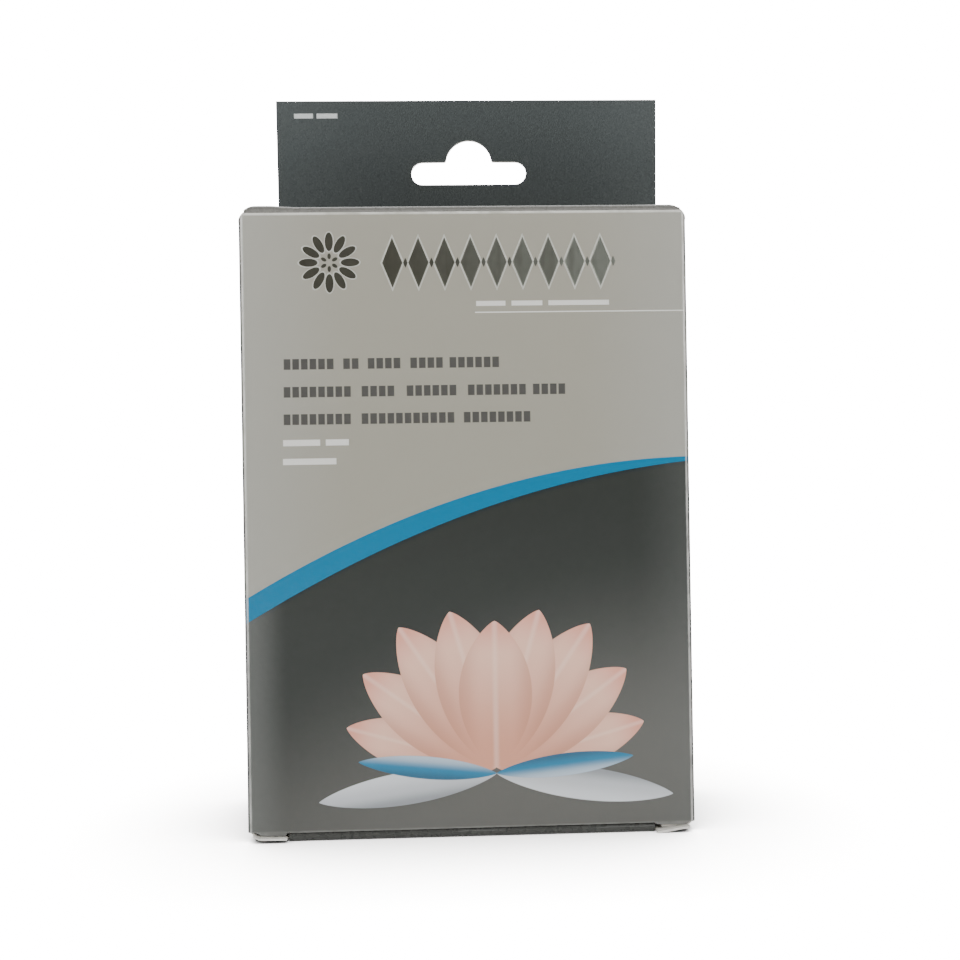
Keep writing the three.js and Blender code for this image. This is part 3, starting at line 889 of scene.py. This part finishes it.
# %% Lids
def lid_board(end):
    arc = LID_FOLD * QUARTER
    straight = end.reach - LID_FOLD - end.tuck_fold
    stop = arc + straight
    ear = arc + end.ear_reach - LID_FOLD
    slit = stop - LID_FOLD
    inner = TUCK_X + SLIT
    half = [(TUCK_X, stop), (TUCK_X, slit), (inner, slit), (inner, ear), (LID_X, ear, 1.0), (LID_X, 0)]
    outline = rounded(half + [(-x, s, *r) for x, s, *r in reversed(half)])
    rows = fold_rows(0, LID_FOLD) + spread(arc, slit, 3)[1:] + spread(slit, ear, 0.5)[1:-1]
    columns = spread(-LID_X, -inner, 0.7) + spread(-TUCK_X, TUCK_X, 4) + spread(inner, LID_X, 0.7)

    def top_crown(x, s):
        lift = bow(x, s - arc - straight / 2, LID_X, straight / 2, 0.35) if arc < s < stop else 0.0
        lift += 0.4 * smooth((-x - TUCK_X + 3) / 6) * smooth(s / arc)
        return lift - 0.9 * max(0.0, (abs(x) - LID_X + 2.4) / 2.4) ** 2 * smooth(1.3 * s / arc)

    def bottom_crown(x, s):
        lift = -bow(x, s - arc - straight / 2, LID_X, straight / 2, 0.35) if arc < s < stop else 0.0
        if abs(x) > inner and s > slit:
            out = smooth((abs(x) - inner) / (LID_X - inner))
            curl = 0.7 + 0.1 * out + 0.7 * smooth((abs(x) - LID_X + 1.6) / 1.6) if x < 0 else 0.05 + 0.95 * out
            lift -= curl * smooth((s - slit) / (ear - slit - 1.2))
        return lift

    crown = top_crown if end.name == "top" else bottom_crown
    mesh = flat_blank(end.name, outline, columns, rows, crown=crown)
    place = place_matrix(end.point(0, 0, -LID_FOLD), (1, 0, 0), (0, 0, end.out), (0, end.along, 0))
    board = fold_board(f"{end.name}_lid_board", mesh, place, end.lid_material, [(0, LID_FOLD, QUARTER)])
    end.metres(0, 0, -LID_FOLD)
    end.metres(0, 0.5, 0.1)
    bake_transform(board)
    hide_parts(f"{end.name}_lid")


for closure_end in ends:
    lid_board(closure_end)


# %% Tuck flaps
def tuck_board(end):
    swing = (TUCK_LENGTH * (1 + TUCK_FOLLOW)) ** 2 / (2 * LID_REACH) + HEADER_LEAN * TUCK_FOLLOW * TUCK_LENGTH
    lean = math.asin(swing / (TUCK_LENGTH - LID_FOLD))
    fold, turn = end.tuck_fold, QUARTER + lean
    arc = fold * turn
    tip = arc + TUCK_LENGTH - fold
    outline = rounded([(-TUCK_X, 0), (TUCK_X, 0), (TUCK_X, tip, TUCK_CORNER), (-TUCK_X, tip, TUCK_CORNER)], 10)
    rows = fold_rows(0, fold, turn) + spread(arc, arc + 1.5, 0.25)[1:] + spread(arc + 1.5, tip, 2)[1:]
    set_back = end.reach - LID_REACH + 0.1 if end.name == "bottom" else 0.0
    mesh = flat_blank(end.name, outline, spread(-TUCK_X, TUCK_X, 4), rows,
                      crown=lambda x, s: -set_back * smooth((s - arc + 0.3) / 1.3))
    place = place_matrix(end.point(0, end.reach - fold, 0), (1, 0, 0), (0, end.along, 0), (0, 0, -end.out))
    board = fold_board(f"{end.name}_tuck_board", mesh, place, end.lid_material, [(0, fold, turn)])
    end.metres(0, end.reach - fold, 0)
    end.metres(0, end.reach + 0.1, -0.5)
    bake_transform(board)
    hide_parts(f"{end.name}_tuck_flap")


for closure_end in ends:
    tuck_board(closure_end)


# %% Dust flaps
def dust_board(end, side, word):
    arc = DUST_FOLD * QUARTER
    length, shoulder, relief = 30.0, 8.2, 1.6
    front_cut, fold_z = relief - 1.0, end.z - end.out * (LAYER + DUST_FOLD)
    past = arc - DUST_FOLD
    slant = length * 0.55
    far = DEPTH - 3.5
    shoulder_reach = LID_REACH - HEADER_LEAN * shoulder
    outline = rounded([
        (front_cut, 0), (front_cut, arc * 0.6), (relief + slant * (DUST_FOLD / length), arc),
        (relief + slant, length + past, 4.0),
        (far, length + past, 4.0), (far, shoulder + past, 0.4), (shoulder_reach, shoulder + past, 0.4),
        (shoulder_reach, 0)])
    rows = fold_rows(0, DUST_FOLD) + spread(arc, length + past, 3)[1:]
    mesh = flat_blank(end.name, outline, spread(front_cut, shoulder_reach, 3), rows)
    place = place_matrix((side * SIDE_X, end.y, fold_z), (0, end.along, 0), (0, 0, end.out), (-side, 0, 0))
    board = fold_board(f"{end.name}_{word}_dust_board", mesh, place, flap_finish, [(0, DUST_FOLD, QUARTER)])
    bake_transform(board)
    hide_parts(f"{end.name}_{word}_dust_flap")


for closure_end in ends:
    dust_board(closure_end, -1, "left")
    dust_board(closure_end, 1, "right")

# %% [markdown]
# ## Stage, camera and light
# The carton stands on a pale floor against white. Two tall soft boxes stand left and right in front, a wide one
# stands high in front, and two more hang above and behind. The camera looks almost straight at the front, from
# about half the carton's height. Its place, turn and focal length were fitted to the carton's corners.

# %% Camera
PICTURE_WIDTH, FOCAL_PIXELS = 960, 1130
CAMERA_PLACE = Vector((-7.02, -296.755, 87.64))
turn = Matrix.Rotation(math.radians(-2.078), 3, "Z") @ Matrix.Rotation(math.radians(0.928), 3, "Y")
right, forward, up = turn.col[0], turn.col[1], turn.col[2]
camera_data = bpy.data.cameras.new("camera")
camera_data.sensor_fit = "HORIZONTAL"
camera_data.sensor_width = 36.0
camera_data.lens = camera_data.sensor_width * FOCAL_PIXELS / PICTURE_WIDTH
camera_data.clip_start = 0.01
camera = bpy.data.objects.new("camera", camera_data)
camera.matrix_world = Matrix.Translation(CAMERA_PLACE * MM) @ Matrix(
    [[right[i], up[i], -forward[i]] for i in range(3)]).to_4x4()
bpy.context.scene.collection.objects.link(camera)
bpy.context.scene.camera = camera
print("lens", round(camera_data.lens, 2))


# %% Floor
CAMERA_WHITE = 17.0


def floor():
    """A pale floor. The camera sees an overexposed sweep with a soft contact shade, the carton sees white paper."""
    size = 3.0
    mesh = bpy.data.meshes.new("floor")
    mesh.from_pydata([(-size, -size, 0), (size, -size, 0), (size, size, 0), (-size, size, 0)], [], [(0, 1, 2, 3)])
    obj = bpy.data.objects.new("floor", mesh)
    bpy.context.scene.collection.objects.link(obj)
    material = bpy.data.materials.new("pale floor")
    material.use_nodes = True
    tree = material.node_tree
    paper = add_node(tree, "ShaderNodeBsdfDiffuse", {}, {"Color": (0.8, 0.8, 0.79, 1)})
    contact = add_node(tree, "ShaderNodeAmbientOcclusion", {"samples": 12}, {"Distance": 0.05})
    nearby = Value(tree, contact.outputs["AO"])
    glow = add_node(tree, "ShaderNodeEmission", {}, {
        "Color": (1, 0.985, 0.975, 1), "Strength": nearby ** 2.7 * CAMERA_WHITE})
    ray = add_node(tree, "ShaderNodeLightPath")
    choice = add_node(tree, "ShaderNodeMixShader", {}, {
        0: ray.outputs["Is Camera Ray"], 1: paper.outputs[0], 2: glow.outputs[0]})
    tree.links.new(choice.outputs[0], tree.nodes["Material Output"].inputs[0])
    mesh.materials.append(material)


floor()


# %% Lights
def softbox(name, place, target, size, power):
    data = bpy.data.lights.new(name, "AREA")
    data.shape = "RECTANGLE"
    data.size, data.size_y, data.energy = size[0], size[1], power
    obj = bpy.data.objects.new(name, data)
    obj.location = place
    obj.rotation_euler = (Vector(target) - Vector(place)).to_track_quat("-Z", "Y").to_euler()
    bpy.context.scene.collection.objects.link(obj)


def around(azimuth, elevation, distance):
    """A place seen from the carton: azimuth to the right of the camera, elevation above the floor, in degrees."""
    a, e = math.radians(azimuth), math.radians(elevation)
    return (distance * math.sin(a) * math.cos(e), -distance * math.cos(a) * math.cos(e), distance * math.sin(e))


softbox("left box", around(-43, 20, 0.9), (0, 0, 0.09), (0.22, 0.8), 5)
softbox("right box", around(43, 20, 0.9), (0, 0, 0.09), (0.22, 0.8), 4.5)
softbox("front box", around(0, 42, 1.0), (0, 0, 0.12), (0.9, 0.35), 3)
softbox("top box", (0, 0.2, 1.1), (0, 0, 0.1), (0.8, 0.8), 1.5)
softbox("back box", around(180, 58, 1.1), (0, 0, 0.09), (0.8, 0.6), 6)


# %% [markdown]
# The world is white where the camera looks at it, like an overexposed backdrop. As a light it is a soft grey
# dome, darker behind the camera, so that the film reflects little light straight back and the inks stay deep.

# %% World
def studio_world():
    world = bpy.data.worlds.new("studio")
    world.use_nodes = True
    bpy.context.scene.world = world
    tree = world.node_tree
    place = add_node(tree, "ShaderNodeTexCoord")
    parts = add_node(tree, "ShaderNodeSeparateXYZ", {}, {"Vector": place.outputs["Generated"]})
    behind = (-Value(tree, parts.outputs[1])).ramp(0.55, 0.95)
    dome = tree.nodes["Background"]
    tree.links.new((1 - behind * 0.85).socket, dome.inputs["Strength"])
    dome.inputs["Color"].default_value = (0.25, 0.255, 0.26, 1)
    white = add_node(tree, "ShaderNodeBackground", {}, {"Color": (1, 1, 1, 1), "Strength": CAMERA_WHITE})
    ray = add_node(tree, "ShaderNodeLightPath")
    choice = add_node(tree, "ShaderNodeMixShader", {}, {
        0: ray.outputs["Is Camera Ray"], 1: dome.outputs[0], 2: white.outputs[0]})
    tree.links.new(choice.outputs[0], tree.nodes["World Output"].inputs[0])


studio_world()
